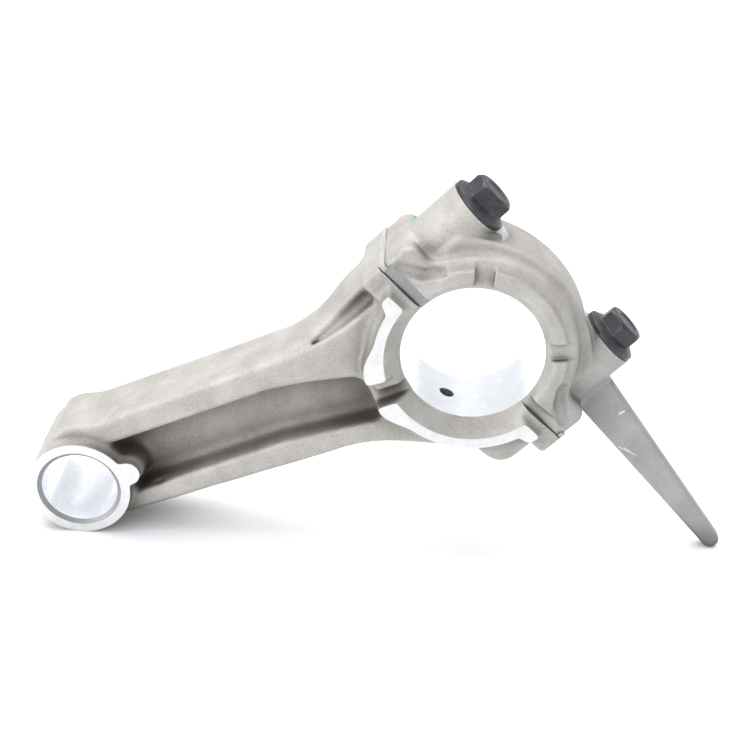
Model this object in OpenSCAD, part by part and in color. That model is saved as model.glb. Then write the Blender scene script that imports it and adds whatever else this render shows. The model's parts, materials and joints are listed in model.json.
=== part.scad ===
// Die-cast connecting rod for a small four-stroke engine, split at an angle across the
// crankpin bore. The cap carries the oil dipper and is held by two flange bolts.
//
// Three frames are used. The rod frame has its origin at the crankpin bore's centre, +X away
// from the piston pin and +Y along both bores. The bolt frame is the rod frame turned about
// the crankpin bore, so that +X runs out along the bolts and +Z along the joint. The part's
// own frame is the rod frame tilted as the rod stands, on its eye and the tip of its dipper.

/* [Rod] */
// Distance between the centres of the two bores
rod_length = 110; // [95:1:135]
// Angle from the rod's axis to the bolts
bolt_tilt = 22.8; // [15:0.1:32]

/* [Big end] */
// Diameter of the crankpin bore
big_bore_d = 36; // [29:0.5:43]
// Length of the crankpin bore's wall
big_bore_w = 21.2; // [18:0.2:25]
// Width across the machined thrust faces
thrust_w = 30; // [25:0.2:36]
// Radial distance from the crankpin bore to the thrust faces
cone_t = 4; // [3:0.1:5]
// Radial width of the thrust faces
thrust_t = 3; // [2:0.1:4]
// Angle that the oil slot leaves open between the two thrust faces
slot_angle = 13; // [8:1:20]
// Width across the rod's ring below the thrust faces
rod_ring_w = 25; // [22:0.2:28]
// Radial thickness of the cap's ring at its front rim
cap_ring_t = 8.2; // [6.5:0.1:9]
// Width across the cap's ring
cap_ring_w = 26.5; // [23:0.1:29]
// Width of the arch that joins the cap's two bosses
crown_w = 17.6; // [14:0.2:20]
// Thickness of the arch over the crankpin bore
crown_t = 10.2; // [8:0.1:13]
// Diameter of the big end's oil hole
big_oil_d = 4; // [2:0.1:5]
// Direction of the big end's oil hole, from the rod's axis
big_oil_angle = -131; // [-150:1:-115]

/* [Small end] */
// Diameter of the piston pin bore
small_bore_d = 20; // [16:0.5:24]
// Wall of the eye around the piston pin bore
eye_wall = 3.5; // [3:0.1:5]
// Width of the small end
small_end_w = 24.8; // [21:0.2:30]
// Chamfer at each end of the piston pin bore, in radius
pin_chamfer = 1.1; // [0.4:0.1:1.5]
// Diameter of the round lug beside the eye
lug_d = 6.6; // [5:0.1:8]
// Diameter of the eye's oil hole
eye_oil_d = 3; // [2:0.1:4]
// Direction of the eye's oil hole, from the rod's axis
eye_oil_angle = 128; // [110:1:150]

/* [Shank] */
// Width across the two flanges
shank_w = 19.6; // [16.5:0.2:23]
// Height of the upper flange over the rod's axis
upper_h = 15.3; // [13.5:0.1:17]
// Depth of the lower flange under the rod's axis, beside the eye
lower_h = 13.2; // [12:0.1:15]
// Extra depth of the lower flange where it reaches the big end
lower_growth = 1.8; // [0:0.1:3]
// Thickness of the web between the two pockets
web_t = 5.6; // [4:0.2:9]
// Height of the pockets
pocket_h = 15.2; // [12:0.1:17]
// Radius of the pockets' corners
pocket_r = 5; // [3:0.1:6]
// Radius of the blend from the lower flange into the big end
blend_r = 60; // [30:1:80]

/* [Joint] */
// Metal between the crankpin bore and the bolts
bolt_wall = 2.5; // [1.5:0.1:6]
// Distance from the bolts to the ends of the joint
joint_end = 7; // [6:0.1:10]
// Width of the joint's flanges
joint_w = 24; // [20:0.2:28]
// Thickness of the rod's joint flange
rod_flange_t = 6.5; // [5:0.1:9]
// Thickness of the cap's joint flange
cap_flange_t = 9.5; // [7:0.1:12]
// Height of the lips that locate the cap
lip_h = 1.5; // [0.8:0.1:2.5]
// Thickness of those lips
lip_t = 1.6; // [1:0.1:2]
// Gap between the lips and the cap
lip_gap = 0.05; // [0.02:0.01:0.1]
// Wall of the rod's bosses around the bolts
rod_boss_wall = 4.6; // [3.5:0.1:6]
// Width of the web that carries the upper boss
boss_web_w = 13; // [10:0.2:16]
// Length of the upper tapped boss
upper_boss_l = 28; // [22:0.5:32]
// Length of the lower tapped boss
lower_boss_l = 21; // [19:0.5:24]
// Wall of the cap's bosses around the bolts
cap_boss_wall = 3.9; // [3.2:0.1:5]
// Depth of the bolt seats under the top of the cap's arch
seat_drop = 3.7; // [1.5:0.1:5]
// Radial width of the spot faces beyond the bolts' flanges
spot_margin = 2.9; // [0.5:0.1:3.5]

/* [Bolts] */
// Thread diameter
bolt_d = 8; // [6:0.5:9]
// Length of thread inside the rod
engage_l = 15; // [10:0.5:16.5]
// Radial gap between the bolts and the tapped holes
thread_gap = 0.05; // [0.02:0.01:0.1]
// Radial gap between the bolts and the cap's holes
shank_gap = 0.1; // [0.05:0.01:0.3]
// Diameter of the bolt's flange
flange_d = 15.4; // [13.5:0.1:17]
// Thickness of the bolt's flange at its rim
flange_t = 1.4; // [1:0.1:2]
// Height of the cone between the flange and the hexagon
flange_cone_h = 1; // [0.5:0.1:1.5]
// Width across the flats of the hexagon
hex_af = 10; // [9:0.1:12]
// Height of the head over its seat
head_h = 6.4; // [5:0.1:9]

/* [Dipper] */
// Distance from the joint to the dipper's centre line, level with the lower bolt
dipper_root = 13; // [11:0.1:15]
// Distance from the lower bolt to the dipper's tip, along the joint
dipper_l = 66.5; // [55:0.5:80]
// Angle between the dipper and the joint
dipper_lean = 7; // [0:0.5:12]
// Width of the dipper at its root
dipper_root_w = 12; // [9:0.1:14]
// Width of the dipper at its tip
dipper_tip_w = 4.7; // [3:0.1:6]
// Thickness of the dipper
dipper_t = 4.4; // [3:0.1:6]

/* [Hidden] */
$fn = 96;

cast_colour = "#a8a498";
black_oxide = "#1b1b1d";

bore_r = big_bore_d / 2;
eye_r = small_bore_d / 2 + eye_wall;
thrust_in_r = bore_r + cone_t;
thrust_out_r = thrust_in_r + thrust_t;
cap_ring_r = bore_r + cap_ring_t;
crown_u = bore_r + crown_t;
bolt_v = bore_r + bolt_wall + bolt_d / 2;
ear_v = bolt_v + joint_end;
lip_v = ear_v - lip_t;
seat_h = crown_u - seat_drop;
rod_boss_r = bolt_d / 2 + rod_boss_wall;
cap_boss_r = bolt_d / 2 + cap_boss_wall;
oil_slot_angle = 181;  // where the oil slot lies, round the bore from the rod's axis
foot_r = 2.4;          // the wider pad at the joint's end of each thrust face
rib_rise = 2.5;        // how far the swept flange runs above the upper bolt
eye_hump = 0.6;        // how far the upper flange rises where it meets the eye
pocket_land = 3.5;     // solid metal between the pockets and the thrust faces
lug_x = -rod_length + eye_r + 0.5;
lower_end_h = lower_h + lower_growth;
blend_z = -lower_end_h - blend_r;
blend_x = -sqrt(pow(blend_r + thrust_out_r, 2) - pow(blend_z, 2));
far = rod_length;      // longer than anything that a half space has to cut
cut = 1;               // how far a cutter runs past the face that it opens

// The tip of the dipper in the rod frame, and the tilt that sets it level with the eye.
tip_u = dipper_root - dipper_l * tan(dipper_lean);
tip_v = -bolt_v - dipper_l;
tip_x = tip_u * cos(bolt_tilt) - tip_v * sin(bolt_tilt);
tip_z = tip_u * sin(bolt_tilt) + tip_v * cos(bolt_tilt);
stand_run = tip_x + rod_length;
stand_drop = dipper_tip_w / 2 - eye_r;
stand_tilt = asin(stand_drop / norm([stand_run, tip_z])) - atan2(tip_z, stand_run);

// ---------------------------------------------------------------- frames and plain shapes

module rod_frame() {
    rotate([0, -stand_tilt, 0]) children();
}

module bolt_frame() {
    rotate([0, -bolt_tilt, 0]) children();
}

// A flat outline in X and Z, given thickness w across the rod.
module across(w) {
    rotate([90, 0, 0]) linear_extrude(w, center = true) children();
}

module cross_cylinder(r, w) {
    rotate([90, 0, 0]) cylinder(r = r, h = w, center = true);
}

// A cylinder along +X from x1 to x2.
module run_cylinder(d, x1, x2) {
    translate([x1, 0, 0]) rotate([0, 90, 0]) cylinder(d = d, h = x2 - x1);
}

// A box from one corner to the other in X and Z, centred across the rod.
module bar(x1, x2, z1, z2, w) {
    translate([x1, -w / 2, z1]) cube([x2 - x1, w, z2 - z1]);
}

// A wedge of angle from a1 to a2 that reaches past radius r.
module wedge(a1, a2, r) {
    steps = ceil((a2 - a1) / 45);
    reach = r / cos((a2 - a1) / steps / 2);
    polygon(concat(
        [[0, 0]],
        [for (i = [0 : steps]) let (a = a1 + (a2 - a1) * i / steps) reach * [cos(a), sin(a)]]
    ));
}

module rounded_rect(size, r) {
    for (turned = [false, true])
        square(turned ? [size.x - 2 * r, size.y] : [size.x, size.y - 2 * r], center = true);
    for (sx = [-1, 1], sz = [-1, 1])
        translate([sx * (size.x / 2 - r), sz * (size.y / 2 - r)]) circle(r);
}

// Runs its children at both bolts: the upper one first, the lower one mirrored.
module at_bolts() {
    for (side = [1, -1]) translate([0, 0, side * bolt_v]) children();
}

// ---------------------------------------------------------------- rod body

module eye() {
    translate([-rod_length, 0, 0]) cross_cylinder(eye_r, small_end_w);
    translate([lug_x, 0, 0]) cross_cylinder(lug_d / 2, small_end_w);
}

// Where a line along the bolts, at height v over the crankpin bore, crosses height z.
function rise_x(v, z) = (z - v / cos(bolt_tilt)) / tan(bolt_tilt);

// The flanges: straight along the shank, and swept up towards the upper bolt.
module shank_outline() {
    eye_x = -rod_length;
    heel = eye_r / 4;
    rib_v = bolt_v + rib_rise;
    polygon([
        [eye_x - heel, 0],
        [eye_x - heel, eye_r - heel / 2],
        [eye_x + heel, upper_h + eye_hump],
        [eye_x + eye_r, upper_h],
        [rise_x(rib_v, upper_h), upper_h],
        rib_v * [-sin(bolt_tilt), cos(bolt_tilt)],
        [0, 0],
        [0, -lower_end_h],
        [blend_x, -lower_end_h],
        [eye_x + 2 * heel, -lower_h],
        [eye_x, heel / 2 - eye_r]
    ]);
}

// The narrower web that carries the upper tapped boss down into the upper flange.
module boss_web_outline() {
    web_v = bolt_v + rod_boss_r - cut;
    foot = rise_x(web_v, upper_h);
    toe = foot - 1.5 * rod_boss_r;
    bend = 3;
    polygon([
        [toe, upper_h - cut],
        [toe, upper_h],
        [foot - bend, upper_h + bend / 6],
        [foot + bend, upper_h + 2 * bend / 3],
        web_v * [-sin(bolt_tilt), cos(bolt_tilt)],
        [0, bore_r],
        [foot, 0]
    ]);
}

// The hollow curve from the lower flange into the ring of the big end.
module lower_blend_outline() {
    difference() {
        polygon([
            [blend_x, 0],
            [0, 0],
            [blend_x, blend_z] * thrust_out_r / (blend_r + thrust_out_r),
            [blend_x, -lower_end_h]
        ]);
        translate([blend_x, blend_z]) circle(blend_r);
    }
}

module pocket(side) {
    depth = (shank_w - web_t) / 2;
    start = lug_x - cut;
    end = -thrust_out_r - pocket_land;
    difference() {
        translate([(start + end) / 2, side * (web_t / 2 + depth / 2 + cut / 2), 0])
            across(depth + cut) rounded_rect([end - start, pocket_h], pocket_r);
        translate([-rod_length, 0, 0]) cross_cylinder(eye_r, small_end_w + 2 * cut);
        translate([lug_x, 0, 0]) cross_cylinder(lug_d / 2, small_end_w + 2 * cut);
    }
}

module thrust_face(a1, a2) {
    across(thrust_w) intersection() {
        difference() {
            circle(thrust_out_r);
            circle(thrust_in_r - cone_t / 2);
        }
        wedge(a1, a2, 2 * thrust_out_r);
    }
}

// The wider pads at the joint's end of each thrust face.
module thrust_feet() {
    for (side = [-1, 1])
        translate([-2 * foot_r, 0, side * thrust_out_r]) cross_cylinder(foot_r, thrust_w);
}

module thrust_faces() {
    joint = bolt_tilt + 90;
    end_gap = 6;  // degrees between the joint and each thrust face
    thrust_face(joint + end_gap, oil_slot_angle - slot_angle / 2);
    thrust_face(oil_slot_angle + slot_angle / 2, joint + 180 - end_gap);
}

module rod_joint_side() {
    bar(-rod_flange_t, lip_h, -ear_v, ear_v, joint_w);
    translate([0, 0, bolt_v]) run_cylinder(2 * rod_boss_r, -upper_boss_l, 0);
    translate([0, 0, -bolt_v]) run_cylinder(2 * rod_boss_r, -lower_boss_l, 0);
}

// The bore, with a flare at each mouth that reaches the thrust faces.
module crankpin_bore() {
    mouth = thrust_w / 2 + cut;
    slope = cone_t / ((thrust_w - big_bore_w) / 2);
    cross_cylinder(bore_r, 2 * mouth);
    rotate([90, 0, 0]) rotate_extrude() for (side = [-1, 1]) polygon([
        [0, side * big_bore_w / 2],
        [bore_r, side * big_bore_w / 2],
        [bore_r + slope * (mouth - big_bore_w / 2), side * mouth],
        [0, side * mouth]
    ]);
}

module pin_bore() {
    half = small_end_w / 2;
    lead = pin_chamfer * 0.7;
    pin_r = small_bore_d / 2;
    translate([-rod_length, 0, 0]) rotate([90, 0, 0]) rotate_extrude() polygon([
        [0, -half - cut],
        [pin_r + pin_chamfer, -half - cut],
        [pin_r + pin_chamfer, -half],
        [pin_r, -half + lead],
        [pin_r, half - lead],
        [pin_r + pin_chamfer, half],
        [pin_r + pin_chamfer, half + cut],
        [0, half + cut]
    ]);
}

module oil_holes() {
    rotate([0, -big_oil_angle, 0]) run_cylinder(big_oil_d, bore_r - cut, far);
    translate([-rod_length, 0, 0]) rotate([0, -eye_oil_angle, 0])
        run_cylinder(eye_oil_d, 0, eye_r + cut);
}

module tapped_holes() {
    runout = 2;
    at_bolts() run_cylinder(bolt_d + 2 * thread_gap, -engage_l - runout, lip_h + cut);
}

module rod_body() {
    color(cast_colour) rod_frame() difference() {
        union() {
            eye();
            across(shank_w) shank_outline();
            across(shank_w) lower_blend_outline();
            across(boss_web_w) boss_web_outline();
            cross_cylinder(thrust_out_r + cut, rod_ring_w);
            thrust_faces();
            bolt_frame() {
                rod_joint_side();
                thrust_feet();
            }
        }
        for (side = [-1, 1]) pocket(side);
        crankpin_bore();
        pin_bore();
        oil_holes();
        bolt_frame() {
            bar(0, far, -lip_v, lip_v, far);
            bar(lip_h, far, -far, far, far);
            tapped_holes();
        }
    }
}

// ---------------------------------------------------------------- cap

// A ring whose faces rise from the bore to a crest and fall again to its outer rim.
module cap_ring() {
    crest = cap_ring_w / 2;
    crest_r = bore_r + 0.4 * cap_ring_t;
    shoulder = crest - 0.5;
    shoulder_r = bore_r + 0.73 * cap_ring_t;
    rim = big_bore_w / 2;
    rotate([90, 0, 0]) rotate_extrude() polygon([
        [bore_r - cut, -rim],
        [bore_r, -rim],
        [crest_r, -crest],
        [shoulder_r, -shoulder],
        [cap_ring_r, -rim],
        [cap_ring_r, rim],
        [shoulder_r, shoulder],
        [crest_r, crest],
        [bore_r, rim],
        [bore_r - cut, rim]
    ]);
}

// The arch over the bore, struck from behind it so that it meets both bolt seats.
module cap_crown() {
    seat_v = bolt_v - flange_d / 2 - 1;
    rise = crown_u - seat_h;
    arch_r = (pow(seat_v, 2) + pow(rise, 2)) / (2 * rise);
    intersection() {
        translate([crown_u - arch_r, 0, 0]) cross_cylinder(arch_r, crown_w);
        bar(bore_r / 3, crown_u + cut, -bolt_v, bolt_v, crown_w);
    }
}

module cap_joint_side() {
    step = 0.4;  // how far the cap's flange stands back from the rod's
    bar(0, cap_flange_t, -ear_v + step, ear_v - step, joint_w - step);
    at_bolts() run_cylinder(2 * cap_boss_r, 0, seat_h);
}

// The blade that dips into the oil, with its root inside the lower boss.
module dipper() {
    tip = [0, -dipper_l / cos(dipper_lean)];
    root_z = -0.65 * bolt_d;
    translate([dipper_root, 0, -bolt_v]) rotate([0, dipper_lean, 0]) across(dipper_t) {
        polygon([
            [-dipper_root_w / 2, root_z],
            [dipper_root_w / 2, root_z],
            tip + [dipper_tip_w / 2, 0],
            tip + [-dipper_tip_w / 2, 0]
        ]);
        translate(tip) circle(d = dipper_tip_w);
    }
}

// The two shallow notches across the cap's ring, on both faces.
module ring_notches() {
    notch_angle = 40;
    notch_w = 4.6;
    depth = 1.3;
    for (turn = [-1, 1], side = [-1, 1])
        rotate([0, turn * notch_angle, 0])
            translate([bore_r + cap_ring_t / 2, side * cap_ring_w / 2, 0])
                cube([cap_ring_t * 1.2, 2 * depth, notch_w], center = true);
}

module rod_cap() {
    color(cast_colour) rod_frame() bolt_frame() difference() {
        union() {
            cap_ring();
            cap_crown();
            cap_joint_side();
            dipper();
        }
        crankpin_bore();
        bar(-far, 0, -far, far, far);
        for (side = [-1, 1])
            translate([lip_h / 2, 0, side * (lip_v + far / 2 - lip_gap)])
                cube([lip_h + 2 * lip_gap, far, far], center = true);
        ring_notches();
        at_bolts() {
            run_cylinder(bolt_d + 2 * shank_gap, -cut, seat_h + cut);
            run_cylinder(flange_d + 2 * spot_margin, seat_h, far);
        }
    }
}

// ---------------------------------------------------------------- bolts

// A cone along +X from x1 to x2, of diameter d1 tapering to d2.
module run_cone(d1, d2, x1, x2) {
    translate([x1, 0, 0]) rotate([0, 90, 0]) cylinder(d1 = d1, d2 = d2, h = x2 - x1);
}

module flange_bolt() {
    chamfer = 0.8;
    hex_d = 2 * hex_af / sqrt(3);
    head_top = seat_h + head_h;
    run_cylinder(bolt_d, cut - engage_l, seat_h);
    run_cone(bolt_d - 2 * cut, bolt_d, -engage_l, cut - engage_l);
    run_cylinder(flange_d, seat_h, seat_h + flange_t);
    run_cone(flange_d, hex_d, seat_h + flange_t, seat_h + flange_t + flange_cone_h);
    intersection() {
        run_cylinder(hex_d, seat_h, head_top, $fn = 6);
        union() {
            run_cylinder(hex_d + cut, seat_h, head_top - chamfer);
            run_cone(hex_d, hex_d - 3 * chamfer, head_top - chamfer, head_top);
        }
    }
}

module bolt(side) {
    color(black_oxide) rod_frame() bolt_frame()
        translate([0, 0, side * bolt_v]) flange_bolt();
}

rod_body();
rod_cap();
bolt(1);  // bolt_upper
bolt(-1);  // bolt_lower
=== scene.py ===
"""Die-cast connecting rod with its bolted cap: cast and machined surfaces, bolts and studio.

The two castings are made as castings are: a smooth body with fillets, drafts and rounded
edges, given as a distance field and skinned, which cutters then bore, mill and spot-face.
Lengths are in mm until a mesh is made, and a mesh is in metres, in the row frame.

Rod frame: origin at the crankpin bore's centre, x away from the piston pin, y along both
bores, z up. Bolt frame: the rod frame turned about y, so that u runs out along the bolts
and v along the joint.
"""
import json
import math

import bmesh
import bpy
import numpy as np
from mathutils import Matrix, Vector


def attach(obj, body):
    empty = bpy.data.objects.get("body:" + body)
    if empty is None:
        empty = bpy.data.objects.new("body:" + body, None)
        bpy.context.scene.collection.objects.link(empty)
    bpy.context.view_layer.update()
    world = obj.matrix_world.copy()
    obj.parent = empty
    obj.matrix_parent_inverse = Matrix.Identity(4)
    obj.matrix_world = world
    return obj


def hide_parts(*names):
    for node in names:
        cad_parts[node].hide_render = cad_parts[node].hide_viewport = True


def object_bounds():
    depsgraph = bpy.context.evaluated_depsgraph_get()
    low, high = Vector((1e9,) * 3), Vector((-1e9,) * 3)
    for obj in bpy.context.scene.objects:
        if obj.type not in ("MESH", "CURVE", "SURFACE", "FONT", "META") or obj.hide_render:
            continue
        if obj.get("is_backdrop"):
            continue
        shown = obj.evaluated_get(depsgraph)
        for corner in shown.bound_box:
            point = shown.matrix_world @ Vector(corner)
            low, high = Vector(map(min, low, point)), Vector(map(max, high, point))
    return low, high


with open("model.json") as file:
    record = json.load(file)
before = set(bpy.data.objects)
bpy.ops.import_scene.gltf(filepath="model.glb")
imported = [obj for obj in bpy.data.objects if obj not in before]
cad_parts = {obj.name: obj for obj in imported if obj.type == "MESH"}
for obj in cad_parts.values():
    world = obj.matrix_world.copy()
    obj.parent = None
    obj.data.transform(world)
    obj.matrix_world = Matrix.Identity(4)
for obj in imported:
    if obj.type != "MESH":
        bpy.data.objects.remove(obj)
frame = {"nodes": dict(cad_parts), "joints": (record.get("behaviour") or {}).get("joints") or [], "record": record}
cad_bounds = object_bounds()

import openvdb
from mathutils import Matrix, Vector

MM = 0.001

# ---------------------------------------------------------------- sizes from the frame

MOUNTS = {mount["name"]: mount for mount in frame["record"]["mounts"]}
BORE_R = MOUNTS["big_end_bore"]["dims"]["r_mm"]
BORE_HALF = MOUNTS["big_end_bore"]["dims"]["length_mm"] / 2
PIN_R = MOUNTS["small_end_bore"]["dims"]["r_mm"]
THRUST_HALF = MOUNTS["thrust_face_back"]["pos_m"][1] / MM

PIN_AT = Vector(MOUNTS["small_end_bore"]["pos_m"]) / MM
ROD_LENGTH = PIN_AT.length
STAND_TILT = math.atan2(-PIN_AT.z, -PIN_AT.x)
SLIDE = Vector(frame["joints"][0]["axis"])
BOLT_TILT = math.atan2(SLIDE.z, SLIDE.x) - STAND_TILT

ROD_TO_ROW = Matrix.Rotation(-STAND_TILT, 4, "Y")
BOLT_TO_ROW = Matrix.Rotation(-STAND_TILT - BOLT_TILT, 4, "Y")


def reach(node, to_row, axis):
    """Least and greatest place of a CAD node's points along an axis of a frame, in mm."""
    from_row = to_row.inverted()
    places = [(from_row @ v.co)[axis] / MM for v in frame["nodes"][node].data.vertices]
    return min(places), max(places)


SKIN_CLEAR = 0.03                 # how far the eye's skin stays inside the CAD's eye
EYE_R = -reach("rod_body", ROD_TO_ROW, 0)[0] - ROD_LENGTH - SKIN_CLEAR
EAR_V = -reach("rod_body", BOLT_TO_ROW, 2)[0]
LIP_H = reach("rod_body", BOLT_TO_ROW, 0)[1]
CROWN_U = reach("rod_cap", BOLT_TO_ROW, 0)[1]
BOLT_END, HEAD_TOP = reach("bolt_upper", BOLT_TO_ROW, 0)
FLANGE_LOW, FLANGE_HIGH = reach("bolt_upper", BOLT_TO_ROW, 2)
FLANGE_R = (FLANGE_HIGH - FLANGE_LOW) / 2
BOLT_V = (FLANGE_HIGH + FLANGE_LOW) / 2
TIP_V = reach("rod_cap", BOLT_TO_ROW, 2)[0]

# ---------------------------------------------------------------- sizes of the details

EYE_HALF = PIN_R * 1.24           # half the width of the machined small end
LUG_X = -ROD_LENGTH + EYE_R + 0.55   # the round lug beside the eye
LUG_Z = -0.3
LUG_R = 3.3
PIN_LEAD = 1.1                    # the countersink at each end of the pin bore
RING_R = BORE_R + 8.0             # the rod's ring round the crankpin bore
RING_HALF = 12.5
SHANK_HALF = 9.8
UPPER_H = 15.0                    # upper and lower flange, from the rod's axis
LOWER_H = 12.5
LOWER_GROWTH = 2.2                # how much deeper the lower flange gets towards the big end
GROWTH_X = 45.0                   # where it has grown in full, from the crankpin
BELLY = 18.5                      # the sweep from the lower flange into the ring
SWELL_R = 6.5                     # the swelling of the upper flange above the eye
SWELL_X = 2.5
SWELL_DROP = 5.3
WEB_HALF = 2.8
POCKET_TOP = 8.1                  # the pocket's upper wall, which slopes down to the ring
POCKET_END_TOP = 3.4
POCKET_END_X = 28.7
POCKET_SLOPE = 0.24
POCKET_LOW = 7.6                  # its lower wall, which spreads from a bend
POCKET_BEND_X = 55.0
POCKET_SPREAD = 0.1
POCKET_END_R = 28.0               # its end beside the ring, about the crankpin
POCKET_DRAFT = 0.14
RIB_V = BOLT_V + 2.5              # slab under the upper bolt, and the gusset on its back
GUSSET_V = BOLT_V + 6.5
GUSSET_DROP = 1.5
GUSSET_HALF = 6.6
VALLEY_GAP = 1.2                  # the hollow between the slab and the gusset
VALLEY_R = 1.5
VALLEY_ENDS = (-27.0, -11.0)      # u where it starts, and where it is full
ROD_BOSS_R = 9.0
ROD_BOSSES = ((1, 34.0, 4.0), (-1, 20.0, 0.0))   # side, length and taper
ROD_BOSS_TAPER_U = -10.0          # where that taper starts
OIL_SLOT = ((-31.0, -3.8), (-10.0, -0.6))   # x and z of its corners
SLOT_PROUD = 0.2                  # how far its floor stands out past the shank's side
CAP_BOSS_R = 7.9
JOINT_HALF = 12.0                 # half the width of the joint's flanges
ROD_FLANGE_T = 6.5
CAP_FLANGE_T = 9.5
LIP_T = 1.6
LIP_GAP = 0.05                    # between the rod's lips and the cap
SEAT_U = CROWN_U - 3.7            # where the bolts seat
SPOT_R = FLANGE_R + 2.9           # the spot faces round those seats
TOE_U = 2.5                       # from the joint back to the ends of the thrust faces
TOE_SLOPE = 0.3
MILL_STOCK = 0.6                  # metal left on a thrust face for the mill to take off
EYE_STOCK = 0.8
LAND_U = 3.0                      # the machined band on the cap, beside the joint
GROOVE_HALF = 0.18                # the groove along the joint
GROOVE_DEPTH = 1.0
PAD_START = 2.0                   # from the crankpin bore out to a thrust face's edges
PAD_W = 6.7
PAD_DRAFT = 0.12
PAD_GAP_AT = 180.5                # the gap between the two arcs, and half its size, in degrees
PAD_GAP_HALF = 7.0
PAD_ENDS = (                      # where it widens: start and end in degrees, and how much
    (129, 123, 2.7),
    (146, 168, 2.6),
    (212, 191, 2.6),
    (277, 282, 2.8),
)
ROD_FLARE = 0.909                 # how fast each mouth of the crankpin bore opens
CAP_FLARE = 0.8
CREST_W = 5.4                     # the crest round the cap, which widens near the joint
CREST_GROWTH = 2.6
CREST_GROWS = (66, 80)            # over these degrees from the bolts' direction
CREST_HALF = 13.2
SHOULDER_HALF = 12.35             # the shoulder outside it
SHOULDER_SLOPE = 0.3
SHOULDER_SCALE = 0.958            # brings the sloping face's field back to mm
CAP_RING_T = 8.6
CREASE = ((3.6, 29.5), (5.2, 26.9), (6.8, 24.6), (10.0, 22.4))   # u and v beside a crest's end
CREASE_R = 1.45
CREASE_DEPTH = 12.9
LAND_DEPTH = 0.4                  # how far the machined band is sunk
NOTCH_TURN = math.radians(40)     # the two cross notches in the cap's ring
NOTCH_HALF = 2.3
NOTCH_FLOOR = 11.6
NOTCH_W = 7.2
BOLT_R = 4.0
TAPPED_DEPTH = 17.0
TAPPED_GAP = 0.05                 # between a bolt and the holes in the rod and in the cap
CAP_HOLE_GAP = 0.1
THREAD_PITCH = 1.25
THREAD_L = 22.0
NECK_R = BOLT_R - 0.35            # the plain shank between the thread and the head
HEX_AF = 10.0
HEX_CORNER_R = HEX_AF / math.sqrt(3)
FLANGE_T = 1.4
BOLT_SIDES = 72
UPPER_HEX_TURN = math.radians(-16)
LOWER_HEX_TURN = math.radians(10)
CROWN_HALF = 8.8
CROWN_FOOT = 6.0
DIPPER_U = 13.0                   # the dipper's centre line at the lower bolt
DIPPER_LEAN = math.radians(7.0)
DIPPER_ROOT_W = 12.0
DIPPER_TIP_W = 4.7
DIPPER_HALF = 2.2
NICKS = (                         # bright nicks in the blade: both ends in u and v, and width
    ((12.6, -42.7), (14.3, -43.0), 0.5),
    ((6.0, -50.1), (7.8, -55.5), 0.25),
    ((7.0, -51.5), (7.5, -54.7), 0.25),
)
OIL_R = 2.0
EYE_OIL_R = 1.5
OIL_AT = math.radians(-131.0)
EYE_OIL_AT = math.radians(128.0)
ROD_STEP = 0.55                   # spacing of the points that each skin is made from
CAP_STEP = 0.31
FAR = 100.0                       # past anything that a cutter has to clear
SIDE = 20.0                       # past the sides of the castings
END = 40.0                        # past the ends of the joint and the bolt seats
LIP_MILL_END = 34.0               # past the cap's ears, but short of the dipper
PAINT_AT = (11.0, 0.0, BOLT_V + 7.6)   # the dab of paint on the cap

# ---------------------------------------------------------------- distance fields
# A field is negative inside the metal, in mm. The last value given to soft_min, soft_max,
# slab and box_2d is the size of the fillet, rounded edge or rounded corner that they leave.


def soft_min(a, b, blend):
    """Union of two fields, with a hollow fillet about as wide as blend."""
    near = np.maximum(blend - np.abs(a - b), 0) / blend
    return np.minimum(a, b) - near * near * blend / 4


def soft_max(a, b, blend):
    """Intersection of two fields, with its edge rounded over about blend."""
    return -soft_min(-a, -b, blend)


def slab(flat, across, half, edge):
    """A flat outline given a thickness of twice half, with rounded edges."""
    return soft_max(flat, np.abs(across) - half, edge)


def disc(a, b, centre_a, centre_b, radius):
    return np.hypot(a - centre_a, b - centre_b) - radius


def box_2d(a, b, low, high, corner):
    """A rectangle from low to high, with corners rounded by corner."""
    past_a = np.maximum(low[0] - a, a - high[0]) + corner
    past_b = np.maximum(low[1] - b, b - high[1]) + corner
    outside = np.hypot(np.maximum(past_a, 0), np.maximum(past_b, 0))
    return outside + np.minimum(np.maximum(past_a, past_b), 0) - corner


def smooth_step(value, start, end):
    """0 at start and 1 at end, easing in and out; start may be the greater."""
    t = np.clip((value - start) / (end - start), 0, 1)
    return t * t * (3 - 2 * t)


class Mould:
    """A grid of points round a casting, with the coordinates that its fields need."""

    def __init__(self, low, high, step):
        axes = [np.arange(a, b + step, step, dtype=np.float32) for a, b in zip(low, high)]
        self.low = np.array(low)
        self.step = step
        self.x, self.y, self.z = np.meshgrid(*axes, indexing="ij", sparse=True)
        self.depth = np.abs(self.y)
        self.radius = np.hypot(self.x, self.z)
        self.angle = np.arctan2(self.z, self.x)

    def cast(self, name, field, to_row):
        """The skin of a field as a mesh object in the row frame."""
        limit = 3 * self.step
        volume = openvdb.FloatGrid(background=limit)
        volume.copyFromArray(np.clip(field, -limit, limit).astype(np.float32))
        points, quads = volume.convertToQuads(isovalue=0.0)
        points = (points * self.step + self.low) * MM
        mesh = bpy.data.meshes.new(name)
        mesh.from_pydata(points.tolist(), [], quads.tolist())
        mesh.transform(to_row)
        return add_object(name, mesh)


def add_object(name, mesh):
    obj = bpy.data.objects.new(name, mesh)
    bpy.context.scene.collection.objects.link(obj)
    return obj


# ---------------------------------------------------------------- cutters and machining


def round_turns(sides):
    """The angles of the points round a turned solid."""
    return [2 * math.pi * i / sides for i in range(sides)]


def join_rings(bm, rings):
    """Faces between neighbouring rings of points, and one over each end."""
    sides = len(rings[0])
    for low, high in zip(rings, rings[1:]):
        for i in range(sides):
            j = (i + 1) % sides
            bm.faces.new((low[i], low[j], high[j], high[i]))
    bm.faces.new(rings[0][::-1])
    bm.faces.new(rings[-1])


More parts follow.
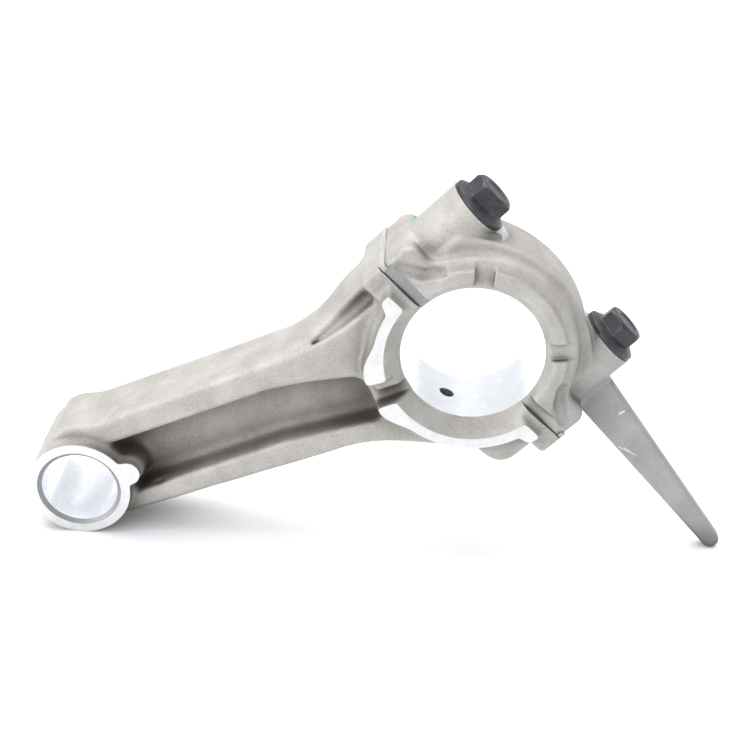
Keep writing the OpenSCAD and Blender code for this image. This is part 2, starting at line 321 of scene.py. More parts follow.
def turned(name, outline, origin, axis, to_row, sides=96):
    """A solid turned about an axis: outline is (distance along it, radius) from end to end."""
    facing = Vector(axis).to_track_quat("Z", "Y").to_matrix().to_4x4()
    bm = bmesh.new()
    rings = []
    for along, radius in outline:
        turns = round_turns(sides)
        rings.append([bm.verts.new((radius * math.cos(t), radius * math.sin(t), along)) for t in turns])
    join_rings(bm, rings)
    return finish_solid(name, bm, to_row @ Matrix.Translation(origin) @ facing)


def block(name, low, high, to_row):
    """A box from corner to corner of a frame."""
    bm = bmesh.new()
    bmesh.ops.create_cube(bm, size=1)
    middle = (Vector(low) + Vector(high)) / 2
    size = Vector(high) - Vector(low)
    place = to_row @ Matrix.Translation(middle) @ Matrix.Diagonal((*size, 1))
    return finish_solid(name, bm, place)


def outward(side, near, far):
    """Least and greatest place of a span that runs from near to far on one side of zero."""
    return sorted((side * near, side * far))


def finish_solid(name, bm, place):
    mesh = bpy.data.meshes.new(name)
    bm.to_mesh(mesh)
    bm.free()
    mesh.transform(Matrix.Scale(MM, 4) @ place)
    return add_object(name, mesh)


# The index of each finish in a casting's list of materials.
CAST, BORED, MILLED, DULL = range(4)
CASTING_EDGE = math.radians(50)
BOLT_EDGE = math.radians(24)


def machine(casting, cutters, materials):
    """Cuts the casting with each (cutter, material index) and marks the edges that this leaves."""
    for material in materials:
        casting.data.materials.append(material)
    for cutter, index in cutters:
        for material in materials:
            cutter.data.materials.append(material)
        for face in cutter.data.polygons:
            face.material_index = index
        cut = casting.modifiers.new(cutter.name, "BOOLEAN")
        cut.operation = "DIFFERENCE"
        cut.solver = "MANIFOLD"
        cut.object = cutter
    bpy.context.view_layer.update()
    graph = bpy.context.evaluated_depsgraph_get()
    finished = bpy.data.meshes.new_from_object(casting.evaluated_get(graph))
    casting.modifiers.clear()
    casting.data = finished
    for cutter, _ in cutters:
        bpy.data.objects.remove(cutter)
    mark_edges(casting, CASTING_EDGE)


def mark_edges(obj, angle):
    """Shades smooth, but for edges over an angle and edges between two finishes."""
    bm = bmesh.new()
    bm.from_mesh(obj.data)
    for face in bm.faces:
        face.smooth = True
    for edge in bm.edges:
        sides = {face.material_index for face in edge.link_faces}
        edge.smooth = len(sides) == 1 and edge.calc_face_angle(0) < angle
    bm.to_mesh(obj.data)
    bm.free()


# ---------------------------------------------------------------- rod


def shank_field(m, u, v):
    """The flanges and web stock: straight, swollen at the eye, and swept up to the joint."""
    eye_swell = disc(m.x, m.z, -ROD_LENGTH + SWELL_X, UPPER_H - SWELL_DROP, SWELL_R)
    top = soft_min(m.z - UPPER_H, v - RIB_V, 5)
    growth = LOWER_GROWTH * np.clip((m.x + ROD_LENGTH) / (ROD_LENGTH - GROWTH_X), 0, 1)
    beam = soft_max(top, -m.z - LOWER_H - growth, 2)
    beam = soft_max(beam, -m.x - ROD_LENGTH + 1, 6)
    beam = soft_max(beam, u, 1)
    beam = soft_min(beam, eye_swell, 4)
    belly = np.where(m.z < 0, BELLY, 2.0)
    return soft_min(beam, m.radius - RING_R, belly)


def pocket_field(m):
    """The hollow beside the web: drafted walls, a round end, and a hook round the lug."""
    sloping = m.z - POCKET_END_TOP + POCKET_SLOPE * (m.x + POCKET_END_X)
    upper = soft_max(m.z - POCKET_TOP, sloping, 2)
    lower = -m.z - POCKET_LOW - np.maximum(m.x + POCKET_BEND_X, 0) * POCKET_SPREAD
    flat = soft_max(upper, lower, 3)
    flat = soft_max(flat, POCKET_END_R - m.radius, 4)
    flat = soft_max(flat, -disc(m.x, m.z, -ROD_LENGTH, 0, EYE_R + 0.5), 2)
    flat = soft_max(flat, -disc(m.x, m.z, LUG_X, LUG_Z, LUG_R + 0.3), 1)
    draft = POCKET_DRAFT * (SHANK_HALF - m.depth)
    return soft_max(flat + draft, WEB_HALF - m.depth, 2.5)


def pad_field(m, u):
    """Thrust faces: two arcs that widen to a toe at each end, standing proud for the mill."""
    degrees = np.degrees(m.angle) % 360
    outer = BORE_R + PAD_W
    for start, end, growth in PAD_ENDS:
        same_half = (degrees < 180) == (start < 180)
        outer = outer + growth * smooth_step(degrees, start, end) * same_half
    gap = -np.abs(degrees - PAD_GAP_AT) + PAD_GAP_HALF
    flat = soft_max(m.radius - outer, BORE_R + PAD_START - m.radius, 0.6)
    flat = soft_max(flat, np.radians(gap) * m.radius, 1.2)
    flat = soft_max(flat, u + TOE_U - TOE_SLOPE * (THRUST_HALF - m.depth), 0.9)
    return flat - PAD_DRAFT * (THRUST_HALF - m.depth)


def cone_field(radius, depth, slope):
    """The flare at each mouth of the crankpin bore; negative where there is metal."""
    return (BORE_R - radius + (depth - BORE_HALF) * slope) / math.hypot(1, slope)


def gusset_field(m, u, v):
    """The narrow gusset behind the upper boss, which runs down into the upper flange."""
    gusset = soft_min(v - GUSSET_V, m.z - UPPER_H + GUSSET_DROP, 6)
    gusset = soft_max(soft_max(gusset, u, 1), -m.z, 1)
    gusset = soft_max(gusset, -m.x - ROD_LENGTH / 2, 4)
    return slab(gusset, m.y, GUSSET_HALF, 3)


def rod_boss_field(m, u, v, side, length, taper):
    """A tapped boss, which gets thinner by its taper and ends in the shank."""
    radius = ROD_BOSS_R - taper * smooth_step(u, ROD_BOSS_TAPER_U, -length)
    boss = np.hypot(v - side * BOLT_V, m.y) - radius
    return soft_max(soft_max(boss, -u - length, 6), u - LIP_H - 1, 1)


def valley_field(m, u, v):
    """The hollow on each side of the gusset, which fades out along the shank."""
    valley = np.hypot(v - RIB_V - VALLEY_GAP, (m.depth - GUSSET_HALF - VALLEY_GAP) * 0.9)
    valley = valley - VALLEY_R * smooth_step(u, *VALLEY_ENDS)
    return soft_max(valley, u + ROD_FLANGE_T + VALLEY_GAP, 2)


def eye_field(m):
    """The small end with its lug, standing proud for the mill."""
    eye = disc(m.x, m.z, -ROD_LENGTH, 0, EYE_R)
    lug = disc(m.x, m.z, LUG_X, LUG_Z, LUG_R)
    return slab(soft_min(eye, lug, 1.0), m.y, EYE_HALF + EYE_STOCK, 0.6)


def oil_slot_field(m):
    """The slot that lets oil in between the two thrust faces of a side."""
    slot = box_2d(m.x, m.z, *OIL_SLOT, 1.2)
    return soft_max(slot, SHANK_HALF + SLOT_PROUD - m.depth, 1.2)


def rod_field(m):
    u = m.x * math.cos(BOLT_TILT) + m.z * math.sin(BOLT_TILT)
    v = m.z * math.cos(BOLT_TILT) - m.x * math.sin(BOLT_TILT)
    body = slab(shank_field(m, u, v), m.y, SHANK_HALF, 1.4)
    body = soft_min(body, gusset_field(m, u, v), 3.5)
    for side, length, taper in ROD_BOSSES:
        body = soft_min(body, rod_boss_field(m, u, v, side, length, taper), 2)
    body = soft_max(body, -valley_field(m, u, v), 2.0)
    body = soft_max(body, -pocket_field(m), 1.5)

    ring = slab(m.radius - RING_R, m.y, RING_HALF, 1.4)
    body = soft_min(body, ring, 2.5)
    body = soft_min(body, slab(pad_field(m, u), m.y, THRUST_HALF + MILL_STOCK, 0.6), 1.0)
    flange = box_2d(u, v, (-ROD_FLANGE_T, -EAR_V), (LIP_H + 1.5, EAR_V), 1.2)
    body = soft_min(body, slab(flange, m.y, JOINT_HALF, 1.2), 2)
    body = soft_min(body, eye_field(m), 1.6)
    body = soft_max(body, -oil_slot_field(m), 0.8)
    return soft_max(body, cone_field(m.radius, m.depth, ROD_FLARE), 0.8)


def joint_groove(to_row):
    """The narrow groove that the broken edges of the rod and the cap leave along the joint."""
    for side in (-1, 1):
        low, high = outward(side, JOINT_HALF - GROOVE_DEPTH, SIDE)
        yield block("joint_slot", (-GROOVE_HALF, low, -END), (GROOVE_HALF, high, END), to_row), DULL


def rod_cutters():
    """Every cut that is made in the rod, with the index of the finish that it leaves."""
    across = (0, 1, 0)
    crankpin = (0, 0, 0)
    pin = (-ROD_LENGTH, 0, 0)
    bore = [(-SIDE, BORE_R), (SIDE, BORE_R)]
    yield turned("crankpin_bore", bore, crankpin, across, ROD_TO_ROW, 160), BORED
    bore = [(-SIDE, PIN_R), (SIDE, PIN_R)]
    yield turned("pin_bore", bore, pin, across, ROD_TO_ROW, 128), BORED
    for side in (-1, 1):
        low, high = outward(side, THRUST_HALF, SIDE)
        yield block("thrust_mill", (-END, low, -END), (END, high, END), ROD_TO_ROW), MILLED
        low, high = outward(side, EYE_HALF, SIDE)
        eye_box = (-ROD_LENGTH - SIDE, low, -SIDE), (-ROD_LENGTH + SIDE, high, SIDE)
        yield block("eye_mill", *eye_box, ROD_TO_ROW), MILLED
        countersink = [(EYE_HALF - PIN_LEAD, PIN_R - 0.3), (EYE_HALF + 1, PIN_R + PIN_LEAD + 1.2)]
        yield turned("pin_lead", countersink, pin, (0, side, 0), ROD_TO_ROW, 128), DULL
        hole = [(-TAPPED_DEPTH, BOLT_R + TAPPED_GAP), (LIP_H + 2, BOLT_R + TAPPED_GAP)]
        yield turned("tapped_hole", hole, (0, 0, side * BOLT_V), (1, 0, 0), BOLT_TO_ROW, 48), DULL
    lip_v = EAR_V - LIP_T
    yield block("joint_mill", (0, -SIDE, -lip_v), (FAR, SIDE, lip_v), BOLT_TO_ROW), MILLED
    for side in (-1, 1):
        low, high = outward(side, EAR_V - 0.15, END)
        yield block("lip_end_mill", (0.2, -JOINT_HALF, low), (FAR, JOINT_HALF, high), BOLT_TO_ROW), MILLED
    yield block("lip_mill", (LIP_H, -SIDE, -END), (FAR, SIDE, END), BOLT_TO_ROW), MILLED
    radial = (math.cos(OIL_AT), 0, math.sin(OIL_AT))
    hole = [(BORE_R - 2, OIL_R), (END, OIL_R)]
    yield turned("oil_hole", hole, crankpin, radial, ROD_TO_ROW, 40), DULL
    radial = (math.cos(EYE_OIL_AT), 0, math.sin(EYE_OIL_AT))
    hole = [(PIN_R - 2, EYE_OIL_R), (EYE_R + 3, EYE_OIL_R)]
    yield turned("eye_oil_hole", hole, pin, radial, ROD_TO_ROW, 32), DULL
    yield from joint_groove(BOLT_TO_ROW)


def build_rod(materials):
    low = (-ROD_LENGTH - EYE_R - 2, -THRUST_HALF - 2, -END)
    high = (SIDE, THRUST_HALF + 2, END + 2)
    mould = Mould(low, high, ROD_STEP)
    rod = mould.cast("rod_casting", rod_field(mould), Matrix(ROD_TO_ROW))
    machine(rod, list(rod_cutters()), materials)
    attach(rod, "rod")
    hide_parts("rod_body")


# ---------------------------------------------------------------- cap


def cap_ring_field(m):
    """The ring's section: the flare, a crest, and a shoulder that falls to the outside."""
    out = m.radius - BORE_R
    flare = CREST_W + CREST_GROWTH * smooth_step(np.degrees(np.abs(m.angle)), *CREST_GROWS)
    crest = soft_max(m.depth - CREST_HALF, (out - flare) * 0.9, 0.6)
    crest = soft_max(crest, LAND_U + 0.5 - m.x, 2.4)
    shoulder = (m.depth - SHOULDER_HALF + SHOULDER_SLOPE * (out - CREST_W)) * SHOULDER_SCALE
    mouth = cone_field(m.radius, m.depth, CAP_FLARE)
    section = soft_max(mouth, soft_min(crest, shoulder, 0.6), 0.7)
    return soft_max(section, out - CAP_RING_T + 0.15 * (m.depth - CROWN_HALF), 1.6)


def crease_field(m):
    """The hollow that parts each end of the crest from the ear beside it."""
    v = np.abs(m.z)
    near = np.full(np.broadcast(m.x, v).shape, FAR, dtype=np.float32)
    for (u1, v1), (u2, v2) in zip(CREASE, CREASE[1:]):
        run_u, run_v = u2 - u1, v2 - v1
        t = ((m.x - u1) * run_u + (v - v1) * run_v) / (run_u ** 2 + run_v ** 2)
        t = np.clip(t, 0, 1)
        near = np.minimum(near, np.hypot(m.x - u1 - t * run_u, v - v1 - t * run_v))
    return np.hypot(near, (m.depth - CREASE_DEPTH) * 0.8) - CREASE_R


def cap_crown_field(m):
    """The arch between the two bolts, struck so that it meets both of their seats."""
    seat_v = BOLT_V - FLANGE_R - 1
    rise = CROWN_U - SEAT_U
    arch_r = (seat_v ** 2 + rise ** 2) / (2 * rise)
    arch = disc(m.x, m.z, CROWN_U - arch_r, 0, arch_r)
    arch = soft_max(arch, np.abs(m.z) - BOLT_V, 1)
    return slab(soft_max(arch, CROWN_FOOT - m.x, 1), m.y, CROWN_HALF, 1.2)


def dipper_field(m):
    """The tapering blade from the lower boss down to its round tip."""
    along_u, along_v = -math.sin(DIPPER_LEAN), -math.cos(DIPPER_LEAN)
    length = (-BOLT_V - TIP_V - DIPPER_TIP_W / 2) / math.cos(DIPPER_LEAN)
    du, dv = m.x - DIPPER_U, m.z + BOLT_V
    along = du * along_u + dv * along_v
    beside = np.abs(du * along_v - dv * along_u)
    half = DIPPER_ROOT_W / 2 + (DIPPER_TIP_W - DIPPER_ROOT_W) / 2 * np.clip(along / length, 0, 1)
    past = np.maximum(along - length, 0)
    before = np.minimum(along, 0)
    return slab(np.hypot(np.hypot(past, before), beside) - half, m.y, DIPPER_HALF, 1.2)


def cap_ears_field(m):
    """The cap's flanges beside the joint, at both ends."""
    ears = box_2d(m.x, m.z, (-3, -EAR_V + 0.4), (CAP_FLANGE_T, EAR_V - 0.4), 3.5)
    ears = soft_max(ears, BORE_R + 1 - np.abs(m.z), 1)
    return slab(ears, m.y, JOINT_HALF - 0.2, 1.8)


def ring_notch_field(m, turn):
    """A notch across the cap's ring, at an angle from the bolts' direction."""
    across = np.abs(-m.x * math.sin(turn) + m.z * math.cos(turn))
    ahead = m.x * math.cos(turn) + m.z * math.sin(turn)
    notch = soft_max(across - NOTCH_HALF, NOTCH_FLOOR - m.depth, 0.4)
    notch = np.maximum(notch, BORE_R / 2 + 1 - ahead)
    return np.maximum(notch, m.radius - BORE_R - NOTCH_W)


def cap_field(m):
    body = cap_ring_field(m)
    body = soft_min(body, cap_crown_field(m), 1.6)
    body = soft_min(body, cap_ears_field(m), 2.0)
    for side in (-1, 1):
        boss = np.hypot(m.z - side * BOLT_V, m.y) - CAP_BOSS_R
        boss = soft_max(boss, m.x - SEAT_U - 1, 1)
        body = soft_min(body, boss, 1.6)
    body = soft_min(body, dipper_field(m), 2.0)
    for turn in (NOTCH_TURN, -NOTCH_TURN):
        body = soft_max(body, -ring_notch_field(m, turn), 0.4)
    body = soft_max(body, -crease_field(m), 1.2)
    body = soft_max(body, BORE_R - 1.5 - m.radius, 1)
    return soft_max(body, -m.x - 1.5, 1)


def dipper_scratches():
    """Shallow cuts in the front of the blade."""
    for start, end, width in NICKS:
        length = math.dist(start, end)
        lean = math.atan2(end[1] - start[1], end[0] - start[0])
        at = Matrix.Translation((start[0], -DIPPER_HALF, start[1]))
        place = BOLT_TO_ROW @ at @ Matrix.Rotation(-lean, 4, "Y")
        yield block("nick", (0, -1, -width / 2), (length, 0.05, width / 2), place), MILLED


def cap_cutters():
    """Every cut that is made in the cap, with the index of the finish that it leaves."""
    along = (1, 0, 0)
    bore = [(-SIDE, BORE_R), (SIDE, BORE_R)]
    yield turned("cap_bore", bore, (0, 0, 0), (0, 1, 0), BOLT_TO_ROW, 160), BORED
    yield block("joint_mill", (-SIDE, -SIDE, -FAR), (0, SIDE, FAR), BOLT_TO_ROW), MILLED
    yield from joint_groove(BOLT_TO_ROW)
    yield from dipper_scratches()
    for side in (-1, 1):
        low, high = outward(side, JOINT_HALF - LAND_DEPTH, SIDE)
        yield block("land_mill", (-1, low, 0), (LAND_U, high, EAR_V + 1), BOLT_TO_ROW), DULL
        yield block("lower_land_mill", (-1, low, -EAR_V - 1), (LAND_U, high, 0), BOLT_TO_ROW), CAST
        low, high = outward(side, EAR_V - LIP_T - LIP_GAP, LIP_MILL_END)
        yield block("lip_mill", (-5, -SIDE, low), (LIP_H + LIP_GAP, SIDE, high), BOLT_TO_ROW), MILLED
        seat = (0, 0, side * BOLT_V)
        hole = [(-2, BOLT_R + CAP_HOLE_GAP), (END, BOLT_R + CAP_HOLE_GAP)]
        yield turned("bolt_hole", hole, seat, along, BOLT_TO_ROW, 48), DULL
        yield turned("spot_face", [(SEAT_U, SPOT_R), (END, SPOT_R)], seat, along, BOLT_TO_ROW), MILLED


def build_cap(materials):
    low = (-3, -THRUST_HALF, TIP_V - 2)
    high = (CROWN_U + 2, THRUST_HALF, EAR_V + 2)
    mould = Mould(low, high, CAP_STEP)
    cap = mould.cast("cap_casting", cap_field(mould), Matrix(BOLT_TO_ROW))
    machine(cap, list(cap_cutters()), materials)
    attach(cap, "cap")
    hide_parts("rod_cap")


# ---------------------------------------------------------------- bolts


def hexagon(turn):
    """Radius of the hexagon at an angle, with its corners eased."""
    face = (turn + math.pi / 6) % (math.pi / 3) - math.pi / 6
    return min(HEX_AF / 2 / math.cos(face), HEX_CORNER_R * 0.985)


def thread(along, turn):
    """Radius of the thread's surface: a helix with flattened crests."""
    phase = (along / THREAD_PITCH - turn / (2 * math.pi)) % 1
    depth = 0.61 * THREAD_PITCH
    return BOLT_R - depth * min(max(abs(2 * phase - 1) * 1.25 - 0.15, 0), 1)


def bolt_stations():
    """(place along the bolt, radius as a function of the turn), from the tip to the head."""
    tip = BOLT_END
    runout = BOLT_END + THREAD_L
    steps = int((runout - tip - 1) / (THREAD_PITCH / 8))
    yield tip, lambda turn: BOLT_R - 1.1
    for i in range(steps + 1):
        along = tip + 1 + (runout - tip - 1) * i / steps
        yield along, lambda turn, along=along: thread(along, turn)
    washer_top = SEAT_U + FLANGE_T
    for along, radius in (
        (runout + 0.6, NECK_R), (SEAT_U - 0.4, NECK_R), (SEAT_U, BOLT_R),
        (SEAT_U, FLANGE_R - 0.35), (SEAT_U + 0.2, FLANGE_R - 0.06), (SEAT_U + 0.5, FLANGE_R),
        (washer_top - 0.35, FLANGE_R), (washer_top - 0.08, FLANGE_R - 0.12),
        (washer_top + 0.05, FLANGE_R - 0.45), (washer_top + 0.7, HEX_AF * 0.62),
    ):
        yield along, lambda turn, radius=radius: radius
    yield washer_top + 0.95, lambda turn: hexagon(turn) + 0.15
    yield washer_top + 1.3, hexagon
    chamfer = ((1.2, 1.02), (1.0, 0.985), (0.75, 0.95), (0.4, 0.895), (0.15, 0.85), (0.03, 0.81))
    for back, share in chamfer:
        limit = HEX_CORNER_R * share
        yield HEAD_TOP - back, lambda turn, limit=limit: min(hexagon(turn), limit)
    for back, radius in ((0.0, 4.2), (0.03, 3.3), (0.3, 2.8), (0.35, 1.0)):
        yield HEAD_TOP - back, lambda turn, radius=radius: radius


def build_bolt(name, node, body, side, turned_by, material):
    """A flange bolt: rolled thread, washer flange, and a chamfered hexagon with a dished top."""
    bm = bmesh.new()
    rings = []
    for along, radius in bolt_stations():
        rings.append([
            bm.verts.new((along, radius(t) * math.cos(t + turned_by), radius(t) * math.sin(t + turned_by)))
            for t in round_turns(BOLT_SIDES)
        ])
    join_rings(bm, rings)
    bmesh.ops.recalc_face_normals(bm, faces=bm.faces)
    bolt = finish_solid(name, bm, BOLT_TO_ROW @ Matrix.Translation((0, 0, side * BOLT_V)))
    bolt.data.materials.append(material)
    mark_edges(bolt, BOLT_EDGE)
    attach(bolt, body)
    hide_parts(node)


# ---------------------------------------------------------------- materials


class Paint:
    """A material's node tree, with short calls for the nodes that these finishes share."""

    def __init__(self, name):
        self.material = bpy.data.materials.new(name)
        self.material.use_nodes = True
        self.tree = self.material.node_tree
        self.shader = self.tree.nodes["Principled BSDF"]
        self.place = self.add("ShaderNodeTexCoord").outputs["Object"]

    def add(self, kind, **settings):
        node = self.tree.nodes.new(kind)
        for key, value in settings.items():
            setattr(node, key, value)
        return node

    def link(self, source, target):
        self.tree.links.new(source, target)

    def noise(self, size, detail, stretch=(1, 1, 1)):
        """Noise with features about size mm across, longer where stretch is over 1."""
        mapping = self.add("ShaderNodeMapping")
        self.link(self.place, mapping.inputs["Vector"])
        mapping.inputs["Scale"].default_value = [1 / (size * MM * s) for s in stretch]
        noise = self.add("ShaderNodeTexNoise")
        self.link(mapping.outputs["Vector"], noise.inputs["Vector"])
        noise.inputs["Scale"].default_value = 1.0
        noise.inputs["Detail"].default_value = detail
        noise.inputs["Roughness"].default_value = 0.55
        return noise.outputs["Fac"]

    def spread(self, value, low, high, to_low=0.0, to_high=1.0):
        """Maps low..high of a value to to_low..to_high, clamped."""
        node = self.add("ShaderNodeMapRange")
        self.link(value, node.inputs["Value"])
        for key, number in zip(("From Min", "From Max", "To Min", "To Max"), (low, high, to_low, to_high)):
            node.inputs[key].default_value = number
        return node.outputs["Result"]

    def mix(self, factor, a, b):
        """Colours a and b mixed; each is a socket or an (r, g, b)."""
        node = self.add("ShaderNodeMix", data_type="RGBA")
        self.link(factor, node.inputs["Factor"])
        for socket, colour in ((node.inputs[6], a), (node.inputs[7], b)):
            if isinstance(colour, tuple):
                socket.default_value = (*colour, 1)
            else:
                self.link(colour, socket)
        return node.outputs[2]

    def bump(self, height, distance, strength, normal=None):
        node = self.add("ShaderNodeBump")
        self.link(height, node.inputs["Height"])
        node.inputs["Distance"].default_value = distance * MM
        node.inputs["Strength"].default_value = strength
        if normal:
            self.link(normal, node.inputs["Normal"])
        return node.outputs["Normal"]

    def finish(self, colour, roughness, normal, metallic):
        """Puts a finish on the shader and returns the material."""
        self.link(colour, self.shader.inputs["Base Color"])
        self.link(roughness, self.shader.inputs["Roughness"])
        self.link(normal, self.shader.inputs["Normal"])
        self.shader.inputs["Metallic"].default_value = metallic
        return self.material

    def along(self, to_row, axis, start, end):
        """0 to 1 as the place along an axis of a frame goes from start to end, in mm."""
        direction = to_row.to_3x3() @ Vector([float(i == axis) for i in range(3)])
        dot = self.add("ShaderNodeVectorMath", operation="DOT_PRODUCT")
        self.link(self.place, dot.inputs[0])
        dot.inputs[1].default_value = direction
        return self.spread(dot.outputs["Value"], start * MM, end * MM)

    def distance(self, place):
        """Distance in mm from a place, given in mm in the bolt frame."""
        node = self.add("ShaderNodeVectorMath", operation="DISTANCE")
        self.link(self.place, node.inputs[0])
        node.inputs[1].default_value = BOLT_TO_ROW @ Vector(place) * MM
        return self.spread(node.outputs["Value"], 0, FAR * MM, 0, FAR)

    def blend(self, a, b):
        """Product of two values."""
        node = self.add("ShaderNodeMath", operation="MULTIPLY")
        self.link(a, node.inputs[0])
        self.link(b, node.inputs[1])
        return node.outputs["Value"]

    def edges(self, radius):
        """How sharply the surface turns within a radius: 0 on flats, rising on edges."""
        bevel = self.add("ShaderNodeBevel", samples=6)
        bevel.inputs["Radius"].default_value = radius * MM
        dot = self.add("ShaderNodeVectorMath", operation="DOT_PRODUCT")
        self.link(bevel.outputs["Normal"], dot.inputs[0])
        self.link(self.add("ShaderNodeNewGeometry").outputs["Normal"], dot.inputs[1])
        return self.spread(dot.outputs["Value"], 1.0, 0.85)

    def crevice(self, distance):
        """How open the surface is: 0 deep in a corner, 1 in the open."""
        node = self.add("ShaderNodeAmbientOcclusion", samples=8)
        node.inputs["Distance"].default_value = distance * MM
        return node.outputs["AO"]


def cast_aluminium():
    """Warm grey as-cast skin: grain, blotches, pits, painted shade in the hollows, and the dab of paint.

    The lower half of the cap is painted a cooler and darker grey than the rest, as painted shade.
    """
    p = Paint("cast_aluminium")
    dark_skin, pale_skin = (0.315, 0.298, 0.272), (0.43, 0.413, 0.387)
    bright_grain = (0.60, 0.58, 0.548)
    pit_brown = (0.13, 0.115, 0.095)
    painted_hollow_shade = (0.060, 0.050, 0.040)
    painted_low_cap_shade = (0.20, 0.20, 0.205)
    blue_green = (0.13, 0.50, 0.46)
    grain = p.noise(0.38, 3)
    patches = p.noise(8, 4)
    pits = p.noise(0.55, 2)
    colour = p.mix(p.spread(patches, 0.35, 0.65), dark_skin, pale_skin)
    colour = p.mix(p.spread(grain, 0.3, 0.72, 0.05, 0.45), colour, bright_grain)
    colour = p.mix(p.spread(pits, 0.30, 0.40, 0.22, 0), colour, pit_brown)
    # Painted shade: the skin is darkened towards dark brown where little of the surroundings is open to it, over
    # 15 mm in the pocket and valleys and over 2.5 mm in tight corners.
    colour = p.mix(p.spread(p.crevice(15), 0.52, 0.96, 0.93, 0), colour, painted_hollow_shade)
    colour = p.mix(p.spread(p.crevice(2.5), 0.30, 0.85, 0.8, 0), colour, painted_hollow_shade)
    # Painted shade: the lower half of the cap, beyond the land by the joint and down the dipper, is darkened and
    # cooled by position.
    low_cap_shade_mask = p.blend(p.along(BOLT_TO_ROW, 2, -4, -BOLT_V - 8), p.along(BOLT_TO_ROW, 0, 1.5, LAND_U))
    colour = p.mix(p.spread(low_cap_shade_mask, 0, 1, 0, 0.36), colour, painted_low_cap_shade)
    paint_mark = p.blend(p.spread(p.distance(PAINT_AT), 0.9, 1.5, 1, 0), p.spread(pits, 0.35, 0.6))
    colour = p.mix(paint_mark, colour, blue_green)
    roughness = p.spread(grain, 0.3, 0.7, 0.68, 0.52)
    skin = p.bump(grain, 0.12, 0.8)
    return p.finish(colour, roughness, p.bump(patches, 0.5, 0.4, skin), 0.45)


def bored_aluminium():
    """Bright, slightly blue bore wall with fine turning lines round it."""
    p = Paint("bored_aluminium")
    lines = p.noise(0.16, 2, (60, 1, 60))
    haze = p.noise(4, 3)
    colour = p.mix(p.spread(haze, 0.3, 0.7), (0.90, 0.92, 0.96), (0.94, 0.955, 0.985))
    roughness = p.spread(haze, 0.3, 0.7, 0.20, 0.30)
    return p.finish(colour, roughness, p.bump(lines, 0.01, 0.35), 0.8)


def milled_aluminium():
    """Near-white milled face with faint feed marks."""
    p = Paint("milled_aluminium")
    marks = p.noise(0.35, 3, (14, 14, 1))
    haze = p.noise(2.5, 3)
    colour = p.mix(p.spread(haze, 0.3, 0.7), (0.60, 0.60, 0.60), (0.69, 0.69, 0.685))
    roughness = p.spread(marks, 0.3, 0.7, 0.34, 0.48)
    return p.finish(colour, roughness, p.bump(marks, 0.012, 0.4), 0.8)


def dull_aluminium():
    """Countersunk and drilled surfaces: coarse tool marks, duller than the milled faces."""
    p = Paint("dull_aluminium")
    marks = p.noise(0.3, 3)
    colour = p.mix(p.spread(marks, 0.3, 0.7), (0.23, 0.23, 0.232), (0.34, 0.34, 0.34))
    roughness = p.spread(marks, 0.3, 0.7, 0.42, 0.6)
    return p.finish(colour, roughness, p.bump(marks, 0.03, 0.5), 0.6)


def black_oxide():
    """Oil-black steel: a dull skin with paler scuffs, and edges painted paler, partly as wear and partly as
    painted highlight.
    """
    p = Paint("black_oxide")
    skin = p.noise(1.2, 4)
    scuffs = p.noise(0.5, 4, (5, 1, 1))
    colour = p.mix(p.spread(skin, 0.35, 0.7), (0.014, 0.014, 0.018), (0.028, 0.028, 0.034))
    colour = p.mix(p.spread(scuffs, 0.62, 0.72, 0, 0.5), colour, (0.09, 0.09, 0.10))
    # Edges painted paler: worn oxide, and a painted highlight along them.
    colour = p.mix(p.spread(p.edges(0.35), 0, 1, 0, 0.8), colour, (0.11, 0.11, 0.125))
    roughness = p.spread(skin, 0.3, 0.7, 0.30, 0.48)
    return p.finish(colour, roughness, p.bump(skin, 0.05, 0.5), 0.0)


def floor_white():
    """Plain pale floor with a faint, uneven sheen."""
    p = Paint("floor_white")
    sheen = p.noise(60, 2)
    colour = p.mix(p.spread(sheen, 0.3, 0.7), (0.93, 0.935, 0.95), (0.95, 0.955, 0.965))
    p.link(colour, p.shader.inputs["Base Color"])
    p.link(p.spread(sheen, 0.3, 0.7, 0.22, 0.30), p.shader.inputs["Roughness"])
    return p.material


# ---------------------------------------------------------------- studio

FLOOR_HALF = 3.0
DAYLIGHT = (0.97, 0.98, 1.0)
CAMERA_AIM = Vector((-0.02384, 0, -0.01348))
CAMERA_DISTANCE = 0.34827
CAMERA_AZIMUTH = math.radians(0.05)
CAMERA_ELEVATION = math.radians(28.93)
CAMERA_ROLL = math.radians(3.54)
CAMERA_LENS = 64.465


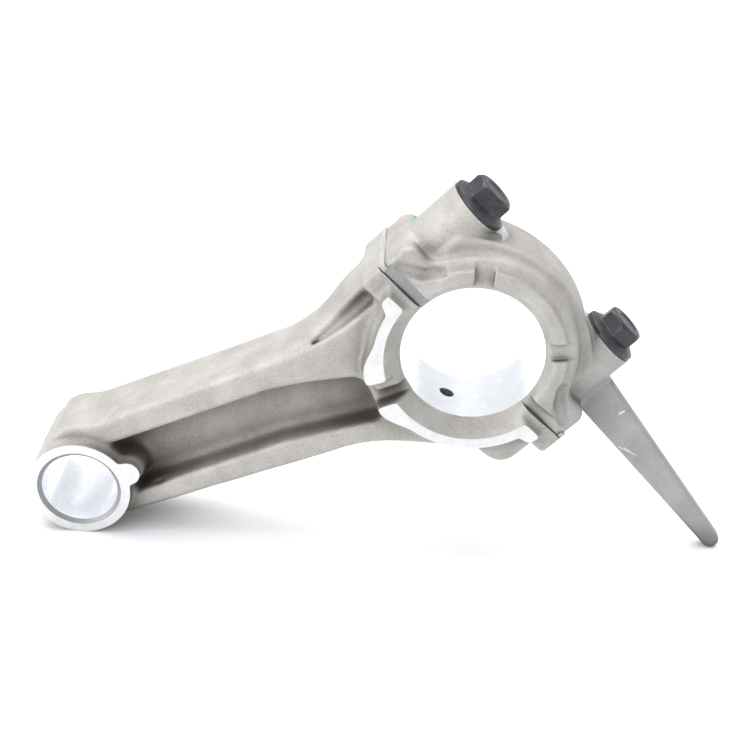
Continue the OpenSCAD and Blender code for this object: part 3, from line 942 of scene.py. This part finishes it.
def add_camera():
    data = bpy.data.cameras.new("camera")
    data.lens = CAMERA_LENS
    data.sensor_width = 36
    data.clip_start = 0.01
    camera = add_object("camera", data)
    aim = Matrix.Translation(CAMERA_AIM)
    azimuth = Matrix.Rotation(CAMERA_AZIMUTH, 4, "Z")
    elevation = Matrix.Rotation(math.pi / 2 - CAMERA_ELEVATION, 4, "X")
    back = Matrix.Translation((0, 0, CAMERA_DISTANCE))
    roll = Matrix.Rotation(CAMERA_ROLL, 4, "Z")
    camera.matrix_world = aim @ (azimuth @ elevation) @ back @ roll
    bpy.context.scene.camera = camera


def add_light(name, at, size, power, colour=(1, 1, 1)):
    data = bpy.data.lights.new(name, "AREA")
    data.shape = "RECTANGLE"
    data.size, data.size_y = size
    data.energy = power
    data.color = colour
    light = add_object(name, data)
    light.location = at
    light.rotation_euler = (-Vector(at)).to_track_quat("-Z", "Y").to_euler()


def add_studio():
    world = bpy.data.worlds.new("studio")
    world.use_nodes = True
    world.node_tree.nodes["Background"].inputs["Color"].default_value = (*DAYLIGHT, 1)
    world.node_tree.nodes["Background"].inputs["Strength"].default_value = 0.85
    bpy.context.scene.world = world
    bpy.context.scene.view_settings.view_transform = "Standard"

    add_light("top_softbox", (-0.1, 0.25, 0.9), (1.2, 0.9), 12.5)
    add_light("left_softbox", (-0.8, -0.6, 0.3), (0.8, 0.8), 6.5, DAYLIGHT)

    floor_z = cad_bounds[0][2]
    bm = bmesh.new()
    corners = ((-1, -1), (1, -1), (1, 1), (-1, 1))
    bm.faces.new([bm.verts.new((x * FLOOR_HALF, y * FLOOR_HALF, floor_z)) for x, y in corners])
    mesh = bpy.data.meshes.new("floor")
    bm.to_mesh(mesh)
    bm.free()
    floor = add_object("floor", mesh)
    floor.data.materials.append(floor_white())
    floor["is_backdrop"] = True


# ---------------------------------------------------------------- the whole

add_camera()
add_studio()
METALS = [cast_aluminium(), bored_aluminium(), milled_aluminium(), dull_aluminium()]
build_rod(METALS)
build_cap(METALS)
OXIDE = black_oxide()
build_bolt("flange_bolt_upper", "bolt_upper", "upper_bolt", 1, UPPER_HEX_TURN, OXIDE)
build_bolt("flange_bolt_lower", "bolt_lower", "lower_bolt", -1, LOWER_HEX_TURN, OXIDE)

boxes = {"cad": cad_bounds, "visual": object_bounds()}
{name: [list(corner) for corner in box] for name, box in boxes.items()}
